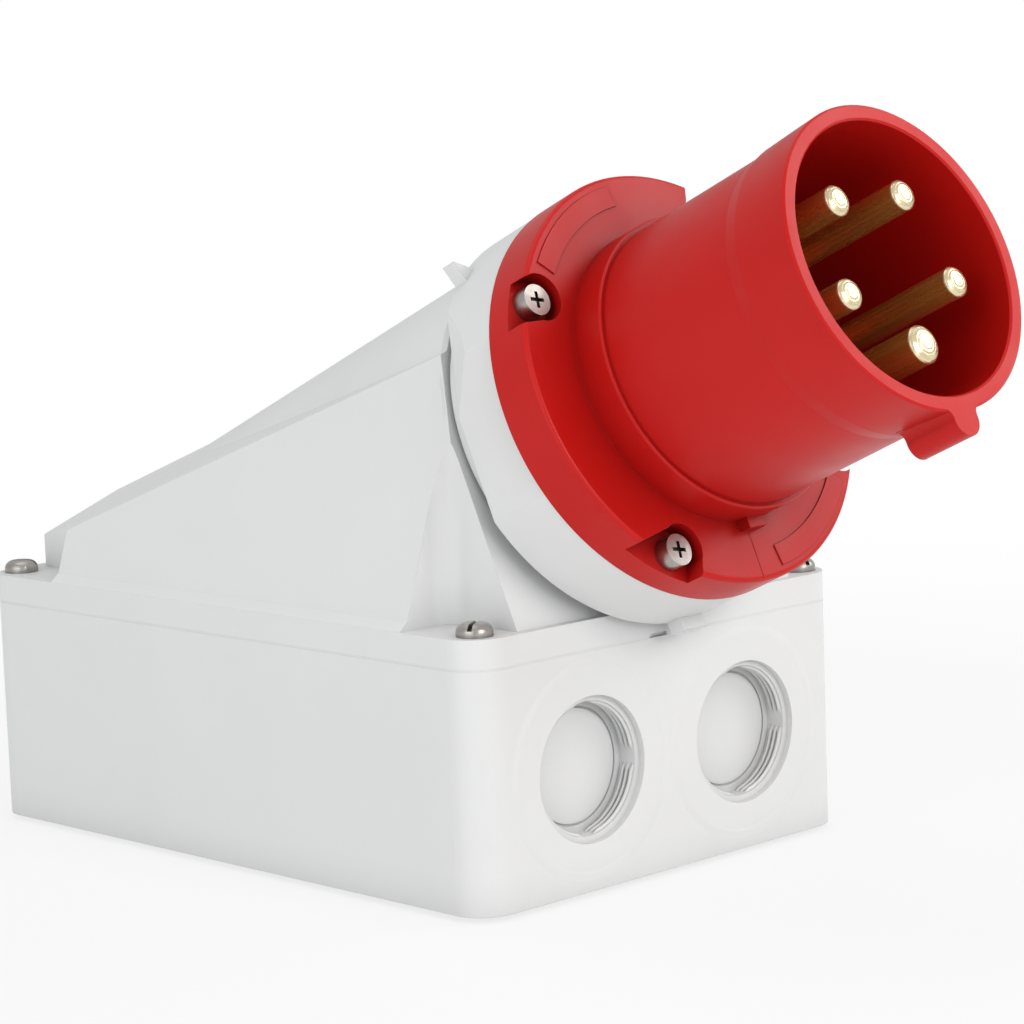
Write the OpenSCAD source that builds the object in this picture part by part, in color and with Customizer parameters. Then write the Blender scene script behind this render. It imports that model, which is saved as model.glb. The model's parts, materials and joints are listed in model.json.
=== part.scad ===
// Wall-mounted industrial power inlet, five pins, 63 A size.
// A grey box and screwed cover carry a tilted adapter ring and a red inlet.
// The back of the box lies on z = 0, the inlet leans toward -Y and away from the wall.

/* [Box] */
// Width of the box
box_w = 137.6; // [130:0.1:150]
// Length of the box
box_l = 203.6; // [195:0.1:220]
// Height of the box up to the parting line
box_h = 62; // [58:0.5:70]
// Outer radius of the upright corners
corner_r = 10; // [6:0.5:14]
// Wall thickness of the box
box_wall = 5; // [4.5:0.1:6]
// Thickness of the box floor
floor_t = 4; // [3:0.1:6]
// Size of the solid corner blocks across X, from the outside
block_x = 18.8; // [16:0.1:24]
// Size of the solid corner blocks along Y, from the outside
block_y = 25.8; // [20:0.1:32]
// Inset across X of the holes for the wall screws
wall_hole_inset_x = 26.8; // [24:0.1:38]
// Inset along Y of the holes for the wall screws
wall_hole_inset_y = 35.8; // [30:0.1:50]
// Diameter of the holes for the wall screws
wall_hole_d = 5.5; // [4:0.1:6.5]
// Diameter of the moulded seats round the wall screws
wall_seat_d = 12; // [9:0.5:16]
// Height of the moulded seats round the wall screws
wall_seat_h = 3; // [2:0.5:6]

/* [Cable entries] */
// Inset of the entry axes from the sides of the box
entry_inset = 39.7; // [36:0.1:42]
// Rise of the entry axes above half the height of the box
entry_rise = 0.5; // [-1:0.1:2]
// Diameter of the entry mouth
entry_d = 38.1; // [32:0.1:40]
// Depth of the entry mouth
entry_mouth_t = 1.6; // [1:0.1:3]
// Core diameter of the threaded length
entry_core_d = 35; // [28:0.1:36]
// Depth of the blanking disc below the front face
entry_depth = 7; // [5:0.5:9]
// Diameter of the knock-out groove in the blanking disc
blank_d = 30; // [24:0.5:32]
// Width and depth of the knock-out groove
blank_groove = 0.6; // [0.4:0.1:1]
// Thickness of the blanking disc
blank_t = 2; // [1.5:0.1:3]
// Outer diameter of the collar round an entry
entry_collar_d = 53.4; // [46:0.1:56]
// Height of the faint raised pad round an entry
entry_pad_t = 0.3; // [0.2:0.1:0.5]

/* [Cover] */
// Height of the cover rim above the parting line
rim_h = 8; // [6:0.5:10]
// Inset of the hood from the side of the rim
ledge_w = 2.8; // [2:0.1:4]
// Rise of the sloped ledge between rim and hood
ledge_h = 2.3; // [1.5:0.1:3]
// Wall thickness of the cover
cover_wall = 3.5; // [3:0.1:4.5]
// Lean of the side walls of the hood from upright
side_lean = 17.6; // [10:0.1:20]
// Rise of the sloped shoulders above the parting line, on the centre plane
shoulder_rise = 68.2; // [64:0.1:72]
// Tilt of the shoulders from level
shoulder_tilt = 26.3; // [20:0.1:30]
// Heading of the shoulders away from the +Y direction
shoulder_turn = 46.5; // [40:0.5:55]
// Depth of the screw notches from the sides of the box
notch_in_x = 17.3; // [15:0.1:20]
// Length of the front screw notches
notch_front = 26.8; // [22:0.1:30]
// Length of the back screw notches
notch_back = 31.8; // [22:0.1:36]
// Corner radius inside a screw notch
notch_r = 6; // [2:0.5:8]
// Corner radius at the back of the hood, beside the notches
hood_back_r = 5; // [2:0.5:6]
// Height and depth of the seam groove at the parting line
seam = 0.4; // [0.2:0.1:0.8]
// Width of the pry slot in the seam at the front
pry_w = 6; // [4:0.5:8]
// Height of the pry slot
pry_h = 1; // [0.8:0.1:2]

/* [Inlet position] */
// Tilt of the inlet axis above the wall plane
tilt = 24.3; // [15:0.1:30]
// Setback of the inlet seat from the front face of the box
seat_back = 0.1; // [-4:0.1:2]
// Height of the inlet seat above the parting line
seat_rise = 62.4; // [58:0.1:68]
// Radius of the round hood tunnel behind the ring
tunnel_r = 51.2; // [48:0.1:54]
// Step from the flat roof up to the crown of the tunnel
roof_step = 1; // [0.5:0.1:2]
// Bevel round the front edge of the tunnel
tunnel_edge = 1; // [0.4:0.1:1.5]
// Radius of the mouth bored in the tunnel front
mouth_r = 46; // [42:0.5:48]

/* [Adapter ring] */
// Outer radius of the adapter ring
ring_r = 55.2; // [54:0.1:56]
// Depth of the adapter ring along the axis
ring_t = 20; // [16:0.5:24]
// Half width across the side flats of the ring
ring_flat_x = 51; // [50:0.1:53]
// Inner radius of the ring
ring_bore_r = 42; // [40:0.5:43]
// Distance between the ring and the hood front
ring_gap = 4.5; // [3:0.5:6]
// Radius of the step that the ring rests on the hood with
step_r = 49.5; // [48.5:0.1:50.5]
// Distance from the inlet axis of the two flats at the rear edge of the ring
facet_r = 54.65; // [53:0.05:58]
// Tilt of these flats from the inlet axis
facet_tilt = 112.1; // [105:0.1:120]
// Turn of these flats from three and nine o'clock
facet_turn = 16.3; // [10:0.1:25]
// Reach of the pointed lugs at the rear edge of the ring
tooth_r = 60.9; // [57:0.1:61]
// Thickness of the lugs along the axis
lug_t = 4.5; // [3:0.5:6]
// Turn of the pointed lugs from six o'clock
tooth_turn = 140; // [130:1:150]
// Reach of the square lug at six o'clock
lug_r = 58.5; // [56:0.1:60]
// Width of the square lug
lug_w = 8.5; // [5:0.1:10]
// Radius of the neck that plugs into the hood
neck_r = 45.6; // [44:0.1:47.6]
// Length of the neck inside the hood
neck_in = 6; // [4:0.5:8]
// Radial width of the mouth gasket
mouth_gasket_w = 2; // [1.5:0.1:3]
// Thickness of the mouth gasket
mouth_gasket_t = 1; // [0.5:0.1:2]

/* [Inlet] */
// Outer radius of the red flange
flange_r = 55.5; // [54.5:0.1:57]
// Thickness of the red flange
flange_t = 13.5; // [10:0.5:16]
// Edge radius of the red flange
flange_edge_r = 1.2; // [0.6:0.1:2]
// Length of the inlet from its seat to the rim
inlet_len = 89.5; // [80:0.5:95]
// Outer radius of the shroud at the rim
rim_r = 39.55; // [38.5:0.05:41]
// Inner radius of the shroud
shroud_in_r = 35.5; // [35:0.05:36]
// Outer radius of the shroud at its foot
shroud_foot_r = 38.2; // [38:0.1:39]
// Outer radius of the collar at the foot of the shroud
collar_r = 39.6; // [39:0.1:41]
// Height of the collar above the flange face
collar_h = 10; // [6:0.5:14]
// Length of the thicker band behind the rim
band_len = 17.5; // [12:0.5:24]
// Step up to that band
band_step = 0.7; // [0.3:0.1:1]
// Length over which the step rises
band_ramp = 4; // [1:0.5:6]
// Bevel of the rim edges
rim_edge = 0.5; // [0.3:0.1:0.8]
// Depth of the shroud cavity
cavity_depth = 67; // [60:0.5:70]
// Thickness of the web at the bottom of the shroud
web_t = 3; // [2.5:0.1:5]
// Length of the key rib under the rim
key_len = 16; // [10:0.5:20]
// Width of the key rib
key_w = 8.6; // [6:0.1:10]
// Height of the key rib above the rim
key_h = 6.4; // [4:0.1:8]
// Fillet between the key rib and the shroud
key_fillet = 2.5; // [1:0.1:4]
// Width of the small stop block at the foot of the shroud
stop_w = 6.5; // [4:0.1:8]
// Reach of the stop block
stop_r = 42.3; // [41:0.1:44]
// Height of the stop block
stop_h = 3.5; // [2:0.1:5]
// Height of the raised pads on the flange face
pad_h = 0.35; // [0.2:0.05:0.5]
// Inner radius of the raised pads
pad_r = 47.5; // [45:0.1:50]
// Start angle of the first raised pad
pad_start = 8; // [5:1:15]
// End angle of the first raised pad
pad_end = 50; // [40:1:52]
// Radius of the circle of the flange screws
screw_pcd_r = 50; // [49:0.1:51]
// Turn of the flange screws from the six o'clock position
screw_turn = 30; // [25:0.5:35]
// Radius of the pockets round the flange screws
pocket_r = 6.3; // [5:0.1:7]
// Half the distance between the straight walls of a pocket
pocket_half_w = 6; // [4.5:0.1:6.8]
// Depth of the pockets round the flange screws
pocket_depth = 6; // [4:0.5:8]
// Slope of the upper wall of the two lower pockets
pocket_rake = 11.5; // [0:0.5:20]
// Slope of their inner wall from upright
pocket_lean = 20; // [0:0.5:30]

/* [Contacts] */
// Diameter of the phase and neutral pins
pin_d = 8; // [7.9:0.05:8.1]
// Diameter of the earth pin
earth_d = 10; // [9.9:0.05:10.1]
// Growth of a pin to its shank, which stops flush with the shroud floor
shank_extra = 2; // [1:0.5:3]
// Radius of the pin circle
pin_circle_r = 20.9; // [20:0.1:22]
// Distance of the pin tips below the rim
tip_below_rim = 2.9; // [1:0.1:6]
// Height of the domed pin ends as a share of the pin diameter
dome_share = 0.18; // [0.1:0.01:0.3]
// Length of a terminal block behind the carrier
terminal_len = 24; // [18:0.5:30]
// Side of a terminal block
terminal_w = 13; // [12:0.1:14]
// Diameter of the wire hole in a terminal block
wire_hole_d = 7.8; // [6:0.1:9]
// Depth of the wire hole
wire_hole_depth = 19; // [12:0.5:24]
// Diameter of the terminal screws
terminal_screw_d = 5; // [4:0.5:6]
// Length of the terminal screws
terminal_screw_len = 6; // [5:0.5:8]
// Distance of the terminal screws from the open end of the block
terminal_screw_back = 7; // [5:0.5:10]
// Width of the slots in the small screws
slot_w = 1; // [0.6:0.1:1.2]
// Thickness of the contact carrier
carrier_t = 14; // [10:0.5:18]
// Radius of the contact carrier
carrier_r = 37; // [36:0.1:38]

/* [Fasteners] */
// Diameter of the cover screw heads
cover_head_d = 9.5; // [8:0.1:10]
// Height of the cover screw heads
cover_head_h = 3.3; // [2.5:0.1:4]
// Edge radius of the cover screw heads
cover_head_r = 2.4; // [0.5:0.1:3]
// Width of the slots in the cover screw heads
cover_slot_w = 1.2; // [0.8:0.1:1.6]
// Shank diameter of the cover screws
cover_shank_d = 5; // [4:0.1:5]
// Inset of the cover screws from the sides of the box
cover_screw_inset = 7.6; // [7:0.1:8.5]
// Diameter of the flange screw heads
flange_head_d = 8.2; // [7:0.1:9]
// Height of the flange screw heads
flange_head_h = 4.4; // [3:0.1:5]
// Length of the cross slots in the flange screw heads
cross_len = 4.4; // [3:0.1:6]
// Depth of the slots in the screw heads
slot_depth = 1.5; // [1:0.1:2.5]
// Shank diameter of the flange screws
flange_shank_d = 4.5; // [4:0.1:5]
// Outer diameter of the threaded inserts
insert_d = 7; // [6.5:0.1:8]
// Length of the threaded inserts
insert_len = 12; // [8:0.5:16]
// Clearance round a screw shank
screw_clear = 0.4; // [0.2:0.05:0.6]
// Clearance between plugged parts
fit_clear = 0.2; // [0.1:0.05:0.3]
// Uncut depth left behind the flange screws
ring_blind_t = 3; // [1:0.5:5]
// Section of the cover gasket
gasket_w = 2.5; // [2:0.1:3]
// Height of the cover gasket
gasket_h = 2; // [1.5:0.1:3]
// Thickness of the flange gasket
flange_gasket_t = 1; // [0.5:0.1:1.5]
// Outer radius of the flange gasket
flange_gasket_r = 45; // [44:0.5:46]

/* [Hidden] */
$fn = 96;
big = 400;
rim_top = box_h + rim_h;
hood_foot = rim_top + ledge_h;
hood_half_w = box_w / 2 - ledge_w;
front_wall_y = -box_l / 2;
block_gap_x = box_w - 2 * block_x;
block_gap_y = box_l - 2 * block_y;
wall_hole_x = box_w / 2 - wall_hole_inset_x;
wall_hole_y = box_l / 2 - wall_hole_inset_y;
entry_x = box_w / 2 - entry_inset;
entry_z = box_h / 2 + entry_rise;
seat_y = front_wall_y + seat_back;
seat_z = box_h + seat_rise;
shoulder_z = box_h + shoulder_rise;
hood_back_y = box_l / 2 - ledge_w;
notch_x = box_w / 2 - notch_in_x;
notch_front_y = box_l / 2 - notch_front;
notch_back_y = box_l / 2 - notch_back;
cavity_half_w = box_w / 2 - box_wall;
cavity_half_l = box_l / 2 - box_wall;
screw_x = box_w / 2 - cover_screw_inset;
screw_y = box_l / 2 - cover_screw_inset;
gasket_in = (box_wall - gasket_w) / 2;
entry_boss_t = entry_depth + blank_t;
hood_front = ring_t + ring_gap;
tunnel_back = 260;
floor_z = inlet_len - cavity_depth;
carrier_front = floor_z - web_t;
tip_z = inlet_len - tip_below_rim;
pin_rear_z = carrier_front - carrier_t;
terminal_z = pin_rear_z - terminal_len;
pocket_floor = flange_t - pocket_depth;
shank_len = pocket_floor + ring_t - ring_blind_t;
cover_shank_len = rim_h + insert_len - 1;
corners = [[-1, -1], [1, -1], [-1, 1], [1, 1]];
phase_angles = [-144, 144, -72, 72];
grey = [0.85, 0.86, 0.86];
red = [0.78, 0.12, 0.12];
brass = [0.78, 0.62, 0.36];
steel = [0.72, 0.73, 0.75];
rubber = [0.12, 0.12, 0.13];

// Frame of the inlet: z along the inlet axis, y toward twelve o'clock, origin on the seat.
module on_inlet() {
    translate([0, seat_y, seat_z]) rotate([90 - tilt, 0, 0]) children();
}

// Rotates about the inlet axis from six o'clock, toward +X.
module clock(angle, r = 0) {
    rotate([0, 0, angle - 90]) translate([r, 0, 0]) children();
}

module rounded_rect(w, l, r) {
    union() {
        square([w - 2 * r, l], center = true);
        square([w, l - 2 * r], center = true);
        for (c = corners) translate([c[0] * (w / 2 - r), c[1] * (l / 2 - r)]) circle(r);
    }
}

// Outline of the space inside the box, grown outward by g.
module cavity_2d(g = 0) {
    union() {
        square([2 * (cavity_half_w + g), block_gap_y + 2 * g], center = true);
        square([block_gap_x + 2 * g, 2 * (cavity_half_l + g)], center = true);
    }
}

module box_prism(z0, z1) {
    translate([0, 0, z0]) linear_extrude(z1 - z0) rounded_rect(box_w, box_l, corner_r);
}

// Axis of one cable entry, pointing into the box from the front face.
module at_entry(side) {
    translate([side * entry_x, front_wall_y, entry_z]) rotate([-90, 0, 0]) children();
}

module rear_box() color(grey) difference() {
    union() {
        difference() {
            box_prism(0, box_h);
            translate([0, 0, floor_t]) linear_extrude(box_h) cavity_2d();
        }
        intersection() {
            box_prism(floor_t / 2, box_h);
            for (s = [-1, 1]) at_entry(s) cylinder(d = entry_collar_d, h = entry_boss_t);
        }
        intersection() {
            translate([-box_w / 2, -box_l, floor_t / 2]) cube([box_w, box_l, box_h - floor_t]);
            for (s = [-1, 1]) at_entry(s) translate([0, 0, -entry_pad_t])
                cylinder(d = entry_collar_d, h = box_wall / 2);
        }
        for (c = corners) translate([c[0] * wall_hole_x, c[1] * wall_hole_y, floor_t / 2])
            cylinder(d = wall_seat_d, h = floor_t / 2 + wall_seat_h);
    }
    for (s = [-1, 1]) at_entry(s) {
        translate([0, 0, -1]) cylinder(d = entry_d, h = entry_mouth_t + 1);
        cylinder(d = entry_core_d, h = entry_depth);
        difference() {
            cylinder(d = blank_d + 2 * blank_groove, h = entry_depth + blank_groove);
            cylinder(d = blank_d, h = entry_depth + 1);
        }
    }
    for (c = corners) {
        translate([c[0] * wall_hole_x, c[1] * wall_hole_y, -1])
            cylinder(d = wall_hole_d, h = floor_t + wall_seat_h + 2);
    }
    for (i = [0 : 3]) at_corner(i, box_h - insert_len) cylinder(d = insert_d, h = insert_len + 1);
}

module cover_gasket() color(rubber) translate([0, 0, box_h]) linear_extrude(gasket_h) difference() {
    cavity_2d(gasket_in + gasket_w);
    cavity_2d(gasket_in);
}

// Side profile of the hood body in Y and Z, inset by g, from height z0 up.
module hood_side_2d(g, z0) {
    z_mid = seat_z - hood_front * sin(tilt);
    y_mid = seat_y + hood_front * cos(tilt);
    lift = tunnel_r - roof_step - g;
    y_roof = y_mid + lift * sin(tilt);
    z_roof = z_mid + lift * cos(tilt);
    y_back = hood_back_y - g;
    fall = (y_back - y_roof) * tan(tilt);
    polygon([[-box_l / 2, z0], [-box_l / 2, z_roof + (y_roof + box_l / 2) * tan(tilt)], [y_back, z_roof - fall],
        [y_back, hood_foot], [box_l / 2 - g, rim_top], [box_l / 2 - g - 1, z0]]);
}

// Solid shape of the hood, inset by g, from height z0 up.
module hood_form(g, z0) {
    foot_w = box_w / 2 - g;
    lean_w = hood_half_w - g;
    top_z = hood_foot + lean_w / 2 / tan(side_lean);
    difference() {
        union() {
            difference() {
                intersection() {
                    rotate([90, 0, 90]) translate([0, 0, -box_w / 2]) linear_extrude(box_w) hood_side_2d(g, z0);
                    rotate([90, 0, 0]) translate([0, 0, -box_l / 2]) linear_extrude(box_l) polygon([
                        [1 - foot_w, z0], [foot_w - 1, z0], [foot_w, rim_top], [lean_w, hood_foot],
                        [lean_w / 2, top_z], [-lean_w / 2, top_z], [-lean_w, hood_foot], [-foot_w, rim_top]]);
                }
                for (s = [-1, 1]) {
                    translate([0, 0, shoulder_z - g]) rotate([0, shoulder_tilt, 90 - s * shoulder_turn])
                        translate([-big / 2, -big / 2, 0]) cube([big, big, big]);
                    notches(s, g);
                    back_round(s, g);
                }
            }
            intersection() {
                on_inlet() translate([0, 0, -hood_front - tunnel_edge]) {
                    translate([0, 0, -tunnel_back]) cylinder(r = tunnel_r - g, h = tunnel_back);
                    cylinder(r1 = tunnel_r - g, r2 = tunnel_r - g - 2 * tunnel_edge, h = 2 * tunnel_edge);
                }
                translate([-big / 2, -big / 2, z0]) cube([big, big / 2 + hood_back_y - g, big]);
            }
        }
        on_inlet() translate([-big / 2, -big / 2, -hood_front - g]) cube([big, big, big]);
    }
}

// Upright notches that clear the cover screws, on one side, widened by g.
module notches(s, g) {
    side = big / 2;
    for (e = [[-1, notch_front_y], [1, notch_back_y]])
        translate([s * (notch_x - g + side / 2), e[0] * (e[1] - g + side / 2), box_h]) linear_extrude(big)
            rounded_rect(side, side, notch_r);
}

// Rounds one back corner of the hood body, inset by g.
module back_round(s, g) {
    r = hood_back_r - g;
    translate([s * (notch_x - g - r), hood_back_y - g - r, box_h]) linear_extrude(big) difference() {
        translate([s * r, r]) square(2 * r, center = true);
        circle(r);
    }
}

module cover_hood() color(grey) difference() {
    union() {
        box_prism(box_h + seam, rim_top);
        translate([0, 0, box_h]) linear_extrude(1)
            rounded_rect(box_w - 2 * seam, box_l - 2 * seam, corner_r - seam);
        hood_form(0, rim_top - 1);
    }
    intersection() {
        hood_form(cover_wall, box_h - 1);
        linear_extrude(big) square([2 * cavity_half_w, 2 * cavity_half_l], center = true);
    }
    on_inlet() translate([0, 0, -hood_front - 3 * cover_wall]) cylinder(r = mouth_r, h = 4 * cover_wall);
    translate([0, 0, box_h - 1]) linear_extrude(gasket_h + 1) difference() {
        cavity_2d(gasket_in + gasket_w);
        cavity_2d(gasket_in);
    }
    for (i = [0 : 3]) at_corner(i, box_h - 1) cylinder(d = cover_shank_d + screw_clear, h = rim_h + 2);
    translate([-pry_w, front_wall_y - 1, box_h - 1]) cube([pry_w, 2 * seam + 1, pry_h + 1]);
}

module adapter_ring() color(grey) on_inlet() difference() {
    union() {
        difference() {
            intersection() {
                translate([0, 0, -ring_t]) cylinder(r = ring_r, h = ring_t);
                translate([-ring_flat_x, -big / 2, -ring_t]) cube([2 * ring_flat_x, big, ring_t]);
            }
            for (turn = [facet_turn, 180 - facet_turn]) rotate([0, facet_tilt, turn])
                translate([-big / 2, -big / 2, facet_r]) cube([big, big, big]);
        }
        translate([0, 0, -ring_t]) linear_extrude(lug_t) {
            for (m = [-1, 1]) scale([m, 1]) rotate(tooth_turn - 90)
                polygon([[pad_r, -lug_w / 2], [tooth_r, 0], [pad_r, lug_w * 0.8]]);
            translate([-lug_w / 2, -lug_r]) square([lug_w, lug_r - pad_r]);
        }
        translate([0, 0, mouth_gasket_t - hood_front]) cylinder(r = step_r, h = hood_front - 1);
        translate([0, 0, -hood_front - neck_in])
            cylinder(r = neck_r - fit_clear, h = hood_front + neck_in - 1);
    }
    translate([0, 0, -hood_front - neck_in - 1]) cylinder(r = ring_bore_r, h = hood_front + neck_in + 2);
    for (i = [0 : 3]) clock(-screw_turn + 90 * i, screw_pcd_r) translate([0, 0, ring_blind_t - ring_t])
        cylinder(d = flange_shank_d, h = ring_t);
}

module mouth_gasket() color(rubber) on_inlet() translate([0, 0, -hood_front]) difference() {
    cylinder(r = neck_r + mouth_gasket_w, h = mouth_gasket_t);
    translate([0, 0, -1]) cylinder(r = neck_r - fit_clear, h = mouth_gasket_t + 2);
}

module flange_gasket() color(rubber) on_inlet() difference() {
    cylinder(r = flange_gasket_r, h = flange_gasket_t);
    translate([0, 0, -1]) cylinder(r = ring_bore_r, h = flange_gasket_t + 2);
}

module flange_solid() {
    rotate_extrude() polygon(concat([[0, 0], [flange_r, 0]],
        [for (a = [0 : 15 : 90]) [flange_r - flange_edge_r + flange_edge_r * cos(a),
            flange_t - flange_edge_r + flange_edge_r * sin(a)]], [[0, flange_t]]));
}

// Shroud wall and collar, from the seat to the rim, cut to shape by one turned profile.
module shroud_solid() {
    band_z = inlet_len - band_len;
    band_r = shroud_foot_r + band_step;
    rotate_extrude() polygon([[0, 0], [collar_r, 0], [collar_r, flange_t + collar_h - rim_edge],
        [collar_r - rim_edge, flange_t + collar_h], [shroud_foot_r, flange_t + collar_h],
        [shroud_foot_r, band_z - band_ramp], [band_r, band_z], [rim_r, inlet_len - rim_edge],
        [rim_r - rim_edge, inlet_len], [0, inlet_len]]);
}

// Two raised pads on the flange face, opposite each other.
module flange_pads() {
    reach = flange_r - 2 * flange_edge_r;
    for (turn = [0, 180]) translate([0, 0, flange_t - 1]) linear_extrude(1 + pad_h) intersection() {
        difference() {
            circle(reach);
            circle(pad_r);
        }
        polygon([[0, 0], [big * sin(pad_start + turn), -big * cos(pad_start + turn)],
            [big * sin(pad_end + turn), -big * cos(pad_end + turn)]]);
    }
}

// Outlines of the two pockets on the -X side, open through the edge of the flange.
module pockets_2d() {
    out = 4 * pocket_r;
    rake = [-cos(pocket_rake), -sin(pocket_rake)];
    lean = [-sin(pocket_lean), -cos(pocket_lean)];
    rake_start = pocket_half_w * [rake[1], -rake[0]];
    lean_start = pocket_half_w * [-lean[1], lean[0]];
    translate([-screw_pcd_r * cos(screw_turn), screw_pcd_r * sin(screw_turn)]) {
        circle(pocket_r);
        translate([-out, -pocket_half_w]) square([out, 2 * pocket_half_w]);
    }
    translate([-screw_pcd_r * sin(screw_turn), -screw_pcd_r * cos(screw_turn)]) {
        circle(pocket_r);
        polygon([[0, 0], rake_start, rake_start + out * rake, [-out, -out], lean_start + out * lean, lean_start]);
    }
}

module inlet_body() color(red) on_inlet() difference() {
    union() {
        flange_solid();
        flange_pads();
        shroud_solid();
        key_rib();
        translate([-stop_w / 2, -stop_r, flange_t - 1]) cube([stop_w, stop_r - shroud_in_r - 1, stop_h + 1]);
    }
    rotate_extrude() polygon([[0, floor_z], [shroud_in_r, floor_z], [shroud_in_r, inlet_len - rim_edge],
        [shroud_in_r + 2 * rim_edge, inlet_len + rim_edge], [0, inlet_len + rim_edge]]);
    translate([0, 0, -1]) cylinder(r = carrier_r + fit_clear, h = carrier_front + 1);
    translate([0, 0, -1]) cylinder(r = flange_gasket_r, h = flange_gasket_t + 1);
    for (i = [0 : 3]) clock(-screw_turn + 90 * i, screw_pcd_r) translate([0, 0, -1])
        cylinder(d = flange_shank_d + screw_clear, h = flange_t + 2);
    for (turn = [0, 180]) rotate([0, 0, turn]) translate([0, 0, pocket_floor])
        linear_extrude(flange_t) pockets_2d();
    pin_shanks();
}

// The shanks of all five pins, drawn long enough to bore their holes.
module pin_shanks() {
    z0 = pin_rear_z - 1;
    for (a = phase_angles) clock(a, pin_circle_r) translate([0, 0, z0])
        cylinder(d = pin_d + shank_extra, h = floor_z + 1 - z0);
    clock(0, pin_circle_r) translate([0, 0, z0]) cylinder(d = earth_d + shank_extra, h = floor_z + 1 - z0);
}

module key_rib() {
    side = key_w / 2 + key_fillet;
    fillet_y = -sqrt(pow(rim_r - rim_edge + key_fillet, 2) - side * side);
    translate([0, 0, inlet_len - key_len]) linear_extrude(key_len) {
        translate([-key_w / 2, -rim_r - key_h + key_w / 2]) square([key_w, key_h]);
        translate([0, -rim_r - key_h + key_w / 2]) circle(d = key_w);
        difference() {
            translate([-side, fillet_y]) square([2 * side, key_fillet + 1]);
            for (m = [-1, 1]) translate([m * side, fillet_y]) circle(key_fillet);
        }
    }
}

module contact_carrier() color([0.15, 0.15, 0.16]) on_inlet() difference() {
    translate([0, 0, pin_rear_z]) cylinder(r = carrier_r, h = carrier_t);
    pin_shanks();
}

module pin(angle, d) color(brass) on_inlet() clock(angle, pin_circle_r) {
    dome = d * dome_share;
    translate([0, 0, pin_rear_z]) cylinder(d = d + shank_extra, h = floor_z - pin_rear_z);
    translate([0, 0, pin_rear_z]) cylinder(d = d, h = tip_z - dome - pin_rear_z);
    translate([0, 0, tip_z - dome]) rotate_extrude() polygon(concat([[0, 0]],
        [for (a = [0 : 10 : 90]) [d / 2 * cos(a), dome * sin(a)]]));
}

module terminal(angle) color(brass) on_inlet() clock(angle, pin_circle_r) {
    difference() {
        translate([-terminal_w / 2, -terminal_w / 2, terminal_z])
            cube([terminal_w, terminal_w, terminal_len]);
        translate([0, 0, terminal_z - 1]) cylinder(d = wire_hole_d, h = wire_hole_depth + 1);
        translate([0, 0, terminal_z + terminal_screw_back]) rotate([0, 90, 0])
            cylinder(d = terminal_screw_d, h = terminal_w);
    }
}

module terminal_screw(angle) color(steel) on_inlet() clock(angle, pin_circle_r) {
    translate([terminal_w / 4, 0, terminal_z + terminal_screw_back]) rotate([0, 90, 0]) difference() {
        cylinder(d = terminal_screw_d, h = terminal_screw_len);
        translate([-slot_w / 2, -terminal_screw_d, terminal_screw_len - slot_w])
            cube([slot_w, 2 * terminal_screw_d, 2 * slot_w]);
    }
}

module flange_screw(i) color(steel) on_inlet() clock(-screw_turn + 90 * i, screw_pcd_r) difference() {
    union() {
        translate([0, 0, pocket_floor]) cylinder(d = flange_head_d, h = flange_head_h);
        translate([0, 0, pocket_floor - shank_len]) cylinder(d = flange_shank_d, h = shank_len + 1);
    }
    for (a = [20, 110]) rotate([0, 0, a])
        translate([-cross_len / 2, -slot_w / 2, pocket_floor + flange_head_h - slot_depth])
            cube([cross_len, slot_w, 2 * slot_depth]);
}

// Moves to one corner screw at height z.
module at_corner(i, z) {
    translate([corners[i][0] * screw_x, corners[i][1] * screw_y, z]) children();
}

module cover_screw(i) color(steel) at_corner(i, rim_top) difference() {
    union() {
        rotate_extrude() polygon(concat([[0, 0], [cover_head_d / 2, 0]],
            [for (a = [0 : 10 : 90]) [cover_head_d / 2 + cover_head_r * (cos(a) - 1),
                cover_head_h + cover_head_r * (sin(a) - 1)]], [[0, cover_head_h]]));
        translate([0, 0, -cover_shank_len]) cylinder(d = cover_shank_d, h = cover_shank_len + 0.5);
    }
    rotate([0, 0, 30 + 50 * i]) translate([-cover_head_d, -cover_slot_w / 2, cover_head_h - slot_depth])
        cube([2 * cover_head_d, cover_slot_w, 2 * slot_depth]);
}

module cover_insert(i) color(brass) at_corner(i, box_h - insert_len) difference() {
    cylinder(d = insert_d, h = insert_len);
    translate([0, 0, -1]) cylinder(d = cover_shank_d, h = insert_len + 2);
}

rear_box();
cover_gasket();
cover_hood();
mouth_gasket();
adapter_ring();
flange_gasket();
inlet_body();
contact_carrier();
pin(phase_angles[0], pin_d);  // pin_l1
pin(phase_angles[1], pin_d);  // pin_l2
pin(phase_angles[2], pin_d);  // pin_l3
pin(phase_angles[3], pin_d);  // pin_neutral
pin(0, earth_d);  // pin_earth
terminal(phase_angles[0]);  // terminal_l1
terminal(phase_angles[1]);  // terminal_l2
terminal(phase_angles[2]);  // terminal_l3
terminal(phase_angles[3]);  // terminal_neutral
terminal(0);  // terminal_earth
terminal_screw(phase_angles[0]);  // terminal_screw_l1
terminal_screw(phase_angles[1]);  // terminal_screw_l2
terminal_screw(phase_angles[2]);  // terminal_screw_l3
terminal_screw(phase_angles[3]);  // terminal_screw_neutral
terminal_screw(0);  // terminal_screw_earth
flange_screw(0);  // flange_screw_1
flange_screw(1);  // flange_screw_2
flange_screw(2);  // flange_screw_3
flange_screw(3);  // flange_screw_4
cover_screw(0);  // cover_screw_1
cover_screw(1);  // cover_screw_2
cover_screw(2);  // cover_screw_3
cover_screw(3);  // cover_screw_4
cover_insert(0);  // cover_insert_1
cover_insert(1);  // cover_insert_2
cover_insert(2);  // cover_insert_3
cover_insert(3);  // cover_insert_4
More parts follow.
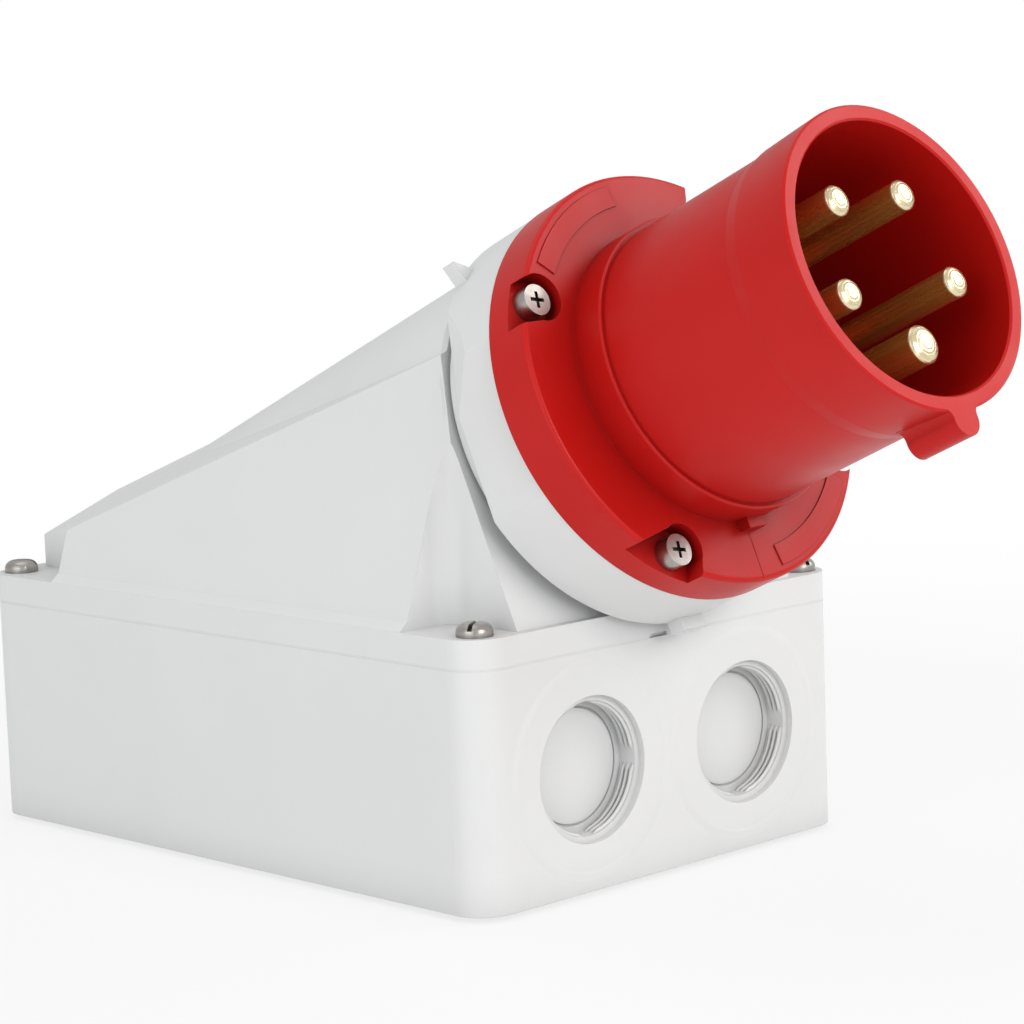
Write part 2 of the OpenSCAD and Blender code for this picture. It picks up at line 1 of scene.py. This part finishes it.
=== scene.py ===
import bmesh
import bpy
import json
import math
from mathutils import Matrix, Vector


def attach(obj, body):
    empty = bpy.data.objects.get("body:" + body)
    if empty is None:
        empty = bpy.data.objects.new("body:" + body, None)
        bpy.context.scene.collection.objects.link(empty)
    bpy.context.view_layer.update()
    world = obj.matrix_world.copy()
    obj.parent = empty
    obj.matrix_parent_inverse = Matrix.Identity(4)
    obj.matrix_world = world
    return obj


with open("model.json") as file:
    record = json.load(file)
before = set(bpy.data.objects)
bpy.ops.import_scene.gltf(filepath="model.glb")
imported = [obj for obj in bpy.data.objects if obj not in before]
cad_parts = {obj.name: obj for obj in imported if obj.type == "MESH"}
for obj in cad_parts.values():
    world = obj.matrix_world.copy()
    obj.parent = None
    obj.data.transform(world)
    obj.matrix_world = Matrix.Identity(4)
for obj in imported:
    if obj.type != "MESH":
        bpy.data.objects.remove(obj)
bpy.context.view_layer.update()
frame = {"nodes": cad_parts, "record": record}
nodes = frame["nodes"]
scene = bpy.context.scene
MM = 0.001

# Main values, repeated from part.scad, in millimetres and degrees.
TILT = math.radians(24.3)
SEAT = Vector((0.0, -101.7, 124.4))
UP = Vector((0.0, math.sin(TILT), math.cos(TILT)))
OUT = Vector((0.0, -math.cos(TILT), math.sin(TILT)))
RIGHT = Vector((1.0, 0.0, 0.0))


# ---------------------------------------------------------------- materials
class Mat:
    """Small helper that builds one node material."""

    def __init__(self, name, color, rough, metallic=0.0, ior=1.5):
        self.mat = bpy.data.materials.new(name)
        self.mat.use_nodes = True
        self.tree = self.mat.node_tree
        self.bsdf = self.tree.nodes["Principled BSDF"]
        self.set(self.bsdf, "Metallic", metallic)
        self.set(self.bsdf, "IOR", ior)
        self.set(self.bsdf, "Roughness", rough)
        self.set(self.bsdf, "Base Color", (*color, 1.0))
        self.coord = self.node("ShaderNodeTexCoord")
        self.height = None

    @staticmethod
    def set(node, socket, value):
        node.inputs[socket].default_value = value

    def node(self, kind, **values):
        made = self.tree.nodes.new(kind)
        for key, value in values.items():
            if key in made.inputs:
                made.inputs[key].default_value = value
            else:
                setattr(made, key, value)
        return made

    def link(self, a, out, b, into):
        self.tree.links.new(a.outputs[out], b.inputs[into])

    def mapped(self, scale=(1, 1, 1), frame_of=None):
        """Object coordinates, turned into the inlet's frame if frame_of is set, then scaled."""
        source, socket = self.coord, "Object"
        if frame_of is not None:
            move = self.node("ShaderNodeMapping", vector_type="TEXTURE")
            self.set(move, "Location", frame_of[0])
            self.set(move, "Rotation", frame_of[1])
            self.link(source, socket, move, "Vector")
            source, socket = move, "Vector"
        size = self.node("ShaderNodeMapping")
        self.set(size, "Scale", scale)
        self.link(source, socket, size, "Vector")
        return size

    def noise(self, scale, detail=3.0, rough=0.55, mapping=None):
        made = self.node("ShaderNodeTexNoise")
        self.set(made, "Scale", scale)
        self.set(made, "Detail", detail)
        self.set(made, "Roughness", rough)
        self.link(mapping or self.mapped(), "Vector", made, "Vector")
        return made

    def spread(self, source, out, low, high, a=0.3, b=0.7):
        made = self.node("ShaderNodeMapRange")
        self.set(made, "From Min", a)
        self.set(made, "From Max", b)
        self.set(made, "To Min", low)
        self.set(made, "To Max", high)
        self.link(source, out, made, "Value")
        return made

    def blend_color(self, factor, out, a, b):
        made = self.node("ShaderNodeMix", data_type="RGBA")
        made.inputs[6].default_value = (*a, 1.0)
        made.inputs[7].default_value = (*b, 1.0)
        self.tree.links.new(factor.outputs[out], made.inputs[0])
        self.tree.links.new(made.outputs[2], self.bsdf.inputs["Base Color"])
        self.color = made
        return made

    def paint_recess_shade(self, share, distance):
        """Paints shade into the base colour where the surface lies in a narrow recess, from ambient occlusion."""
        near = self.node("ShaderNodeAmbientOcclusion", samples=4)
        self.set(near, "Distance", distance)
        depth = self.spread(near, "AO", share, 1.0, 0.0, 0.9)
        # Multiplies the painted shade into the base colour.
        made = self.node("ShaderNodeMix", data_type="RGBA", blend_type="MULTIPLY")
        made.inputs[0].default_value = 1.0
        self.tree.links.new(self.color.outputs[2], made.inputs[6])
        self.tree.links.new(depth.outputs["Result"], made.inputs[7])
        self.tree.links.new(made.outputs[2], self.bsdf.inputs["Base Color"])

    def bump(self, source, out, strength, distance):
        made = self.node("ShaderNodeBump")
        self.set(made, "Strength", strength)
        self.set(made, "Distance", distance)
        self.link(source, out, made, "Height")
        if self.height is not None:
            self.link(self.height, "Normal", made, "Normal")
        self.height = made
        self.link(made, "Normal", self.bsdf, "Normal")

    def round_edges(self, radius):
        """Softens sharp edges in the shading, as a moulded part has them."""
        made = self.node("ShaderNodeBevel", samples=4)
        self.set(made, "Radius", radius)
        self.height = made

    def roughness(self, source, out):
        self.link(source, out, self.bsdf, "Roughness")


PINS = {"pin_l1": -144, "pin_l2": 144, "pin_l3": -72, "pin_neutral": 72, "pin_earth": 0}
PIN_CIRCLE = 20.9
TIP_Z = 0.0866
INLET = ((0.0, -0.1017, 0.1244), (math.radians(90) - TILT, 0.0, 0.0))


def moulded(name, light, dark, rough, grain=1400.0, depth=0.00004, strength=0.25, edge=0.00025, specular=0.4,
             painted_recess_shade=None):
    """Moulded plastic: faint cloudy tone, fine spark-eroded grain, soft variation in gloss, and painted shade in
    recesses when given.
    """
    m = Mat(name, light, rough)
    m.set(m.bsdf, "Specular IOR Level", specular)
    if edge > 0.0:
        m.round_edges(edge)
    cloud = m.noise(22.0, 4.0)
    m.blend_color(m.spread(cloud, "Fac", 0.0, 1.0), "Result", light, dark)
    m.roughness(m.spread(m.noise(60.0, 4.0), "Fac", rough - 0.05, rough + 0.06), "Result")
    m.bump(m.noise(grain, 2.0), "Fac", strength, depth)
    m.bump(m.noise(30.0, 2.0), "Fac", 0.10, 0.0004)
    # Painted shade in recesses, from ambient occlusion.
    if painted_recess_shade is not None:
        m.paint_recess_shade(*painted_recess_shade)
    return m.mat


def turned(name, light, dark, rough, axis=(0.0, 0.0), tip=None):
    """Turned metal: streaks along the axis, fine rings round it, and a paler end face."""
    m = Mat(name, light, rough, metallic=0.82)
    streaks = m.noise(500.0, 4.0, mapping=m.mapped((1, 1, 0.03), INLET))
    m.blend_color(m.spread(streaks, "Fac", 0.0, 1.0, 0.35, 0.70), "Result", light, dark)
    place = m.node("ShaderNodeMapping")
    m.set(place, "Location", (-axis[0] * MM, -axis[1] * MM, 0.0))
    m.link(m.mapped((1, 1, 1), INLET), "Vector", place, "Vector")
    wave = m.node("ShaderNodeTexWave", wave_type="RINGS", rings_direction="Z")
    m.set(wave, "Scale", 330.0)
    m.set(wave, "Distortion", 0.6)
    m.link(place, "Vector", wave, "Vector")
    m.bump(wave, "Color", 0.5, 0.00008)
    m.roughness(m.spread(streaks, "Fac", rough - 0.06, rough + 0.10), "Result")
    if tip is not None:
        parts = m.node("ShaderNodeSeparateXYZ")
        m.link(place, "Vector", parts, "Vector")
        end = m.spread(parts, "Z", 0.0, 1.0, TIP_Z - 0.0019, TIP_Z - 0.0014)
        pale = m.node("ShaderNodeMix", data_type="RGBA")
        m.link(end, "Result", pale, 0)
        m.link(m.color, 2, pale, 6)
        pale.inputs[7].default_value = (*tip, 1.0)
        m.link(pale, 2, m.bsdf, "Base Color")
    return m.mat


def plated(name, light, dark, rough):
    m = Mat(name, light, rough, metallic=1.0)
    m.blend_color(m.spread(m.noise(120.0, 4.0), "Fac", 0.0, 1.0), "Result", light, dark)
    m.roughness(m.spread(m.noise(400.0, 3.0), "Fac", rough - 0.06, rough + 0.12), "Result")
    m.bump(m.noise(900.0, 3.0), "Fac", 0.2, 0.00004)
    # Painted shade in the screw slots and other narrow recesses.
    m.paint_recess_shade(0.06, 0.0022)
    return m.mat


# The housing has painted shade in its recesses.
HOUSING = moulded("housing_grey", (0.765, 0.776, 0.772), (0.742, 0.752, 0.748), 0.44,
                  painted_recess_shade=(0.70, 0.012))
TRIM = moulded("trim_grey", (0.765, 0.776, 0.772), (0.742, 0.752, 0.748), 0.44, edge=0.0)
# The red inlet has strong painted shade deep inside the shroud and in its other recesses.
RED = moulded("inlet_red", (0.565, 0.007, 0.005), (0.515, 0.006, 0.004), 0.38,
              grain=1800.0, strength=0.15, edge=0.0002, specular=0.25, painted_recess_shade=(0.22, 0.036))
CARRIER = moulded("carrier_black", (0.020, 0.020, 0.022), (0.030, 0.030, 0.032), 0.50)
GASKET = moulded("gasket_black", (0.018, 0.018, 0.018), (0.030, 0.030, 0.030), 0.70, grain=900.0)
TERMINAL = turned("terminal_brass", (0.62, 0.47, 0.24), (0.50, 0.36, 0.17), 0.35)
STEEL = plated("screw_steel", (0.52, 0.50, 0.47), (0.40, 0.38, 0.35), 0.33)

FINISH = {
    "housing_grey": HOUSING, "inlet_red": RED, "carrier_black": CARRIER, "gasket_black": GASKET,
    "terminal_brass": TERMINAL, "screw_steel": STEEL,
}
for pin, turn in PINS.items():
    at = (PIN_CIRCLE * math.sin(math.radians(turn)), -PIN_CIRCLE * math.cos(math.radians(turn)))
    FINISH[pin] = turned("brass_" + pin, (0.90, 0.54, 0.14), (0.74, 0.37, 0.06), 0.22, at, (0.84, 0.72, 0.46))
for sub in frame["record"]["subparts"]:
    mesh = nodes[sub["node"]].data
    mesh.materials.clear()
    mesh.materials.append(FINISH.get(sub["node"]) or FINISH[sub["material_slot"]])

# ---------------------------------------------------------------- fine pieces
def inlet_matrix(angle=0.0):
    """Frame of the inlet: z outward, x to the right; angle turns from six o'clock toward +X."""
    turn = Matrix((RIGHT, UP, OUT)).transposed().to_4x4()
    return Matrix.Translation(SEAT * MM) @ turn @ Matrix.Rotation(math.radians(angle - 90), 4, "Z")


def entry_matrix(side):
    """Frame of a cable entry: z into the box, x to the right, y down the front face."""
    turn = Matrix(((1, 0, 0), (0, 0, 1), (0, -1, 0))).to_4x4()
    return Matrix.Translation(Vector((side * 29.1, -101.8, 31.5)) * MM) @ turn


def piece(name, verts, faces, matrix, material, smooth=True):
    mesh = bpy.data.meshes.new(name)
    mesh.from_pydata([matrix @ (Vector(v) * MM) for v in verts], [], faces)
    made = bpy.data.objects.new(name, mesh)
    scene.collection.objects.link(made)
    bm = bmesh.new()
    bm.from_mesh(mesh)
    bmesh.ops.remove_doubles(bm, verts=bm.verts, dist=1e-7)
    bmesh.ops.recalc_face_normals(bm, faces=bm.faces)
    bm.to_mesh(mesh)
    bm.free()
    for face in mesh.polygons:
        face.use_smooth = smooth
    mesh.materials.append(material)
    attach(made, "root")
    return made


def swept_ring(profile, start, end, steps, verts, faces, caps=True):
    """Adds a closed profile of (radius, depth) turned from start to end, in degrees, with end caps."""
    base, n = len(verts), len(profile)
    for i in range(steps + 1):
        a = math.radians(start + (end - start) * i / steps)
        taper = min(1.0, 12.0 * min(i, steps - i) / steps) if caps else 1.0
        for r, z in profile:
            mid = profile[0][0]
            rr = mid + (r - mid) * taper
            verts.append((rr * math.cos(a), rr * math.sin(a), z))
    for i in range(steps):
        for j in range(n):
            a, b = base + i * n + j, base + i * n + (j + 1) % n
            faces.append((a, b, b + n, a + n))
    if caps:
        faces.append(tuple(base + j for j in reversed(range(n))))
        faces.append(tuple(base + steps * n + j for j in range(n)))


def thread(side, name):
    verts, faces = [], []
    for k in range(3):
        z = 2.5 + 1.5 * k
        profile = [(17.6, z - 0.62), (17.6, z + 0.62), (16.75, z + 0.16), (16.75, z - 0.16)]
        for q in range(4):
            swept_ring(profile, 90 * q + 5, 90 * q + 85, 28, verts, faces)
    made = piece(name, verts, faces, entry_matrix(side), HOUSING)
    return made


thread(-1, "entry_thread_left")
thread(1, "entry_thread_right")


def parting_lip(name):
    """Lip of the cover behind the parting line, open at the pry slot."""
    half_w, half_l, radius, z0, z1 = 68.8, 101.8, 10.0, 62.0, 62.4
    path = [(-6.4, -half_l, 0.0, -1.0), (-half_w + radius, -half_l, 0.0, -1.0)]
    for sx, sy, start in ((-1, -1, 270), (-1, 1, 180), (1, 1, 90), (1, -1, 0)):
        for k in range(9):
            a = math.radians(start - 90 * k / 8)
            nx, ny = math.cos(a), math.sin(a)
            cx, cy = sx * (half_w - radius), sy * (half_l - radius)
            path.append((cx + radius * nx, cy + radius * ny, nx, ny))
    path.append((0.4, -half_l, 0.0, -1.0))
    verts, faces = [], []
    for x, y, nx, ny in path:
        for inset, z in ((0.05, z0), (0.05, z1), (0.5, z1), (0.5, z0)):
            verts.append((x - nx * inset, y - ny * inset, z))
    for i in range(len(path) - 1):
        for j in range(4):
            a, b = 4 * i + j, 4 * i + (j + 1) % 4
            faces.append((a, b, b + 4, a + 4))
    last = 4 * (len(path) - 1)
    faces += [(3, 2, 1, 0), (last, last + 1, last + 2, last + 3)]
    return piece(name, verts, faces, Matrix.Identity(4), TRIM, smooth=False)


parting_lip("parting_lip")


def pad_slope(side, name):
    """Eases the low step of the round pad into the wall."""
    verts, faces = [], []
    profile = [(26.0, -0.32), (26.0, 0.3), (28.9, 0.3), (28.9, 0.01), (26.8, -0.32)]
    swept_ring(profile, 0, 360, 144, verts, faces, caps=False)
    return piece(name, verts, faces, entry_matrix(side), TRIM, smooth=False)


pad_slope(-1, "entry_slope_left")
pad_slope(1, "entry_slope_right")

line = [(42.0, 0.18, 0.0), (54.6, 0.18, 0.0), (54.6, -0.18, 0.0), (42.0, -0.18, 0.0),
        (42.0, 0.08, 0.16), (54.6, 0.08, 0.16), (54.6, -0.08, 0.16), (42.0, -0.08, 0.16)]
piece("flange_line", [(x, y, z + 13.46) for x, y, z in line],
      [(3, 2, 1, 0), (4, 5, 6, 7), (0, 1, 5, 4), (1, 2, 6, 5), (2, 3, 7, 6), (3, 0, 4, 7)],
      inlet_matrix(-0.7), RED, smooth=False)

# ---------------------------------------------------------------- stage and light
def plane(name, size, location, rotation, material):
    half = size / 2
    mesh = bpy.data.meshes.new(name)
    mesh.from_pydata([(-half, -half, 0), (half, -half, 0), (half, half, 0), (-half, half, 0)], [], [(0, 1, 2, 3)])
    made = bpy.data.objects.new(name, mesh)
    scene.collection.objects.link(made)
    made.location = location
    made.rotation_euler = rotation
    made.data.materials.append(material)
    return made


def stage_material(name, shade):
    """Pale and diffuse for the light on the object; mostly plain white where the camera looks at it."""
    m = Mat(name, (0.80, 0.80, 0.80), 0.9)
    path = m.node("ShaderNodeLightPath")
    glow = m.node("ShaderNodeEmission")
    m.set(glow, "Strength", 1.0)
    seen = m.node("ShaderNodeMath", operation="MAXIMUM")
    m.link(path, "Is Camera Ray", seen, 0)
    m.link(path, "Is Glossy Ray", seen, 1)
    near = m.node("ShaderNodeTexGradient", gradient_type="QUADRATIC_SPHERE")
    m.link(m.mapped((1.6, 1.6, 1.6)), "Vector", near, "Vector")
    part = m.node("ShaderNodeMath", operation="MULTIPLY")
    m.link(seen, 0, part, 0)
    m.link(m.spread(near, "Fac", 1.0, 1.0 - shade, 0.0, 0.35), "Result", part, 1)
    mix = m.node("ShaderNodeMixShader")
    m.link(part, 0, mix, 0)
    m.link(m.bsdf, 0, mix, 1)
    m.link(glow, 0, mix, 2)
    m.link(mix, 0, m.tree.nodes["Material Output"], "Surface")
    return m.mat


plane("floor", 6.0, (0, 0, -0.0015), (0, 0, 0), stage_material("stage_white", 0.22))

world = bpy.data.worlds.new("world")
world.use_nodes = True
scene.world = world
tree = world.node_tree
background = tree.nodes["Background"]
background.inputs[0].default_value = (1.0, 1.0, 1.0, 1.0)
background.inputs[1].default_value = 0.60
seen_sky = tree.nodes.new("ShaderNodeBackground")
seen_sky.inputs[0].default_value = (1.0, 1.0, 1.0, 1.0)
seen_sky.inputs[1].default_value = 1.0
path = tree.nodes.new("ShaderNodeLightPath")
sky = tree.nodes.new("ShaderNodeMixShader")
tree.links.new(path.outputs["Is Camera Ray"], sky.inputs[0])
tree.links.new(background.outputs[0], sky.inputs[1])
tree.links.new(seen_sky.outputs[0], sky.inputs[2])
tree.links.new(sky.outputs[0], tree.nodes["World Output"].inputs[0])


def lamp(name, location, target, size, power):
    data = bpy.data.lights.new(name, "AREA")
    data.shape = "SQUARE"
    data.size = size
    data.energy = power
    made = bpy.data.objects.new(name, data)
    scene.collection.objects.link(made)
    made.location = location
    made.rotation_mode = "QUATERNION"
    made.rotation_quaternion = (Vector(target) - Vector(location)).to_track_quat("-Z", "Y")
    return made


lamp("key", (0.92, -0.70, 0.77), (0, -0.05, 0.10), 0.6, 4.0)
lamp("fill", (-1.0, -0.25, 0.40), (0, -0.05, 0.08), 0.8, 3.1)
lamp("top", (0.0, 0.2, 1.2), (0, 0, 0.08), 0.7, 1.6)
lamp("front", (0.0, -1.19, 0.62), (0, -0.10, 0.12), 0.4, 4.0)
lamp("low", (-0.3, -1.1, 0.10), (0, -0.10, 0.05), 0.5, 0.6)

camera = bpy.data.objects.new("camera", bpy.data.cameras.new("camera"))
scene.collection.objects.link(camera)
camera.data.sensor_width = 36.0
camera.data.lens = 3289.58 / 1024 * 36.0
camera.data.clip_start = 0.05
camera.data.clip_end = 20.0
axes = Matrix((
    (0.71291233, 0.12033731, -0.69085088),
    (-0.70033749, 0.0718494, -0.71018664),
    (-0.03582472, 0.99012959, 0.13549905),
))
camera.matrix_world = Matrix.Translation((-0.612859, -0.676114, 0.210168)) @ axes.to_4x4()
scene.camera = camera

scene.view_settings.view_transform = "Standard"
